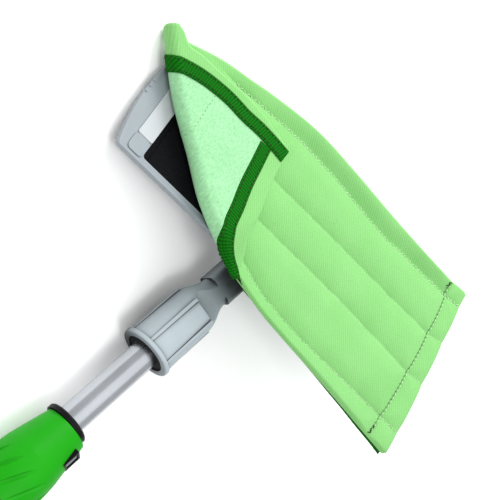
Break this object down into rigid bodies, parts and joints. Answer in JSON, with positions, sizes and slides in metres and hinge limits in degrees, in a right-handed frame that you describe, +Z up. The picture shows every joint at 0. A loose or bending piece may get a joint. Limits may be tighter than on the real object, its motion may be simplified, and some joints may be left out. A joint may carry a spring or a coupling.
{
  "type": "flat mop",
  "caption": "Flat mop with a telescopic pole, a swivelling hook-and-loop plate and a quilted microfibre cover with one corner peeled back.",
  "frame": {"origin": "on the floor, in the middle of the footprint of the mop as it lies, cleaning face up", "axes": "+Z up from the floor, +Y along the pole from the hanging eye to the head, +X across the pole towards the right-hand end of the plate"},
  "size_m": [0.2993, 0.8438, 0.0996],
  "materials": {
    "base_plate": "moulded grey plastic, fine satin grain",
    "hook_panel": "black hook-and-loop hooks on a woven base",
    "end_strip_left": "pale smooth plastic",
    "end_strip_right": "pale smooth plastic",
    "plate_bracket": "moulded grey plastic",
    "bracket_screws": "zinc-plated steel",
    "tilt_pin": "turned steel",
    "tilt_washers": "black nylon",
    "swivel_cross": "moulded dark grey plastic",
    "ferrule_neck": "moulded grey plastic, fine satin grain",
    "swing_pin": "turned steel",
    "ferrule_liner": "black rubber",
    "ferrule_screw": "zinc-plated steel",
    "inner_tube": "anodised aluminium, drawn along its length",
    "outer_tube": "anodised aluminium, drawn along its length",
    "tube_guide": "black nylon",
    "collet": "black moulded plastic",
    "lock_collar": "green moulded plastic, satin",
    "indicator_frame": "black moulded plastic",
    "indicator": "pale grey plastic",
    "hand_grip": "soft dark grip, matt",
    "end_cap": "green moulded plastic, satin",
    "cover_pad": "light green twill microfibre, quilted",
    "cover_flap": "pale mint loop backing with a short nap",
    "tape_left": "dark green woven binding tape",
    "tape_near_folded": "dark green woven binding tape",
    "tape_near": "dark green woven binding tape",
    "tape_far": "dark green woven binding tape",
    "tape_right": "dark green woven binding tape"
  },
  "bodies": {
    "handle": {"outer_tube": "outer_tube", "hand_grip": "hand_grip", "end_cap": "end_cap", "collet": "collet"},
    "collar": {"lock_collar": "lock_collar", "indicator_frame": "indicator_frame", "indicator": "indicator"},
    "shaft": {"inner_tube": "inner_tube", "tube_guide": "tube_guide", "ferrule_neck": "ferrule_neck", "ferrule_liner": "ferrule_liner", "ferrule_screw": "ferrule_screw", "swing_pin": "swing_pin"},
    "swivel": {"swivel_cross": "swivel_cross"},
    "head": {"base_plate": "base_plate", "hook_panel": "hook_panel", "end_strip_left": "end_strip_left", "end_strip_right": "end_strip_right", "plate_bracket": "plate_bracket", "bracket_screws": "bracket_screws", "tilt_pin": "tilt_pin", "tilt_washers": "tilt_washers"},
    "cover": {"cover_pad": "cover_pad", "cover_flap": "cover_flap", "tape_left": "tape_left", "tape_near_folded": "tape_near_folded", "tape_near": "tape_near", "tape_far": "tape_far", "tape_right": "tape_right"}
  },
  "joints": [
    {"name": "telescope", "type": "slide", "parent": "handle", "child": "shaft", "axis": [0, 1, 0.0096], "range_m": [0, 0.4]},
    {"name": "collar_twist", "type": "hinge", "parent": "handle", "child": "collar", "pos_m": [0.00973, 0.13382, 0.02144], "axis": [0, -1, -0.0096], "range_deg": [0, 90]},
    {"name": "head_swing", "type": "hinge", "parent": "shaft", "child": "swivel", "pos_m": [0.00973, 0.30211, 0.02306], "axis": [-0.2755, -0.0092, 0.9613], "range_deg": [-52.9, 27.1]},
    {"name": "head_tilt", "type": "hinge", "parent": "swivel", "child": "head", "pos_m": [0.00501, 0.32357, 0.02191], "axis": [0.937, 0.2207, 0.2706], "range_deg": [-173, 3]},
    {"name": "cover_lift", "type": "slide", "parent": "head", "child": "cover", "axis": [-0.2931, 0.0758, 0.9531], "range_m": [0, 0.06]}
  ]
}
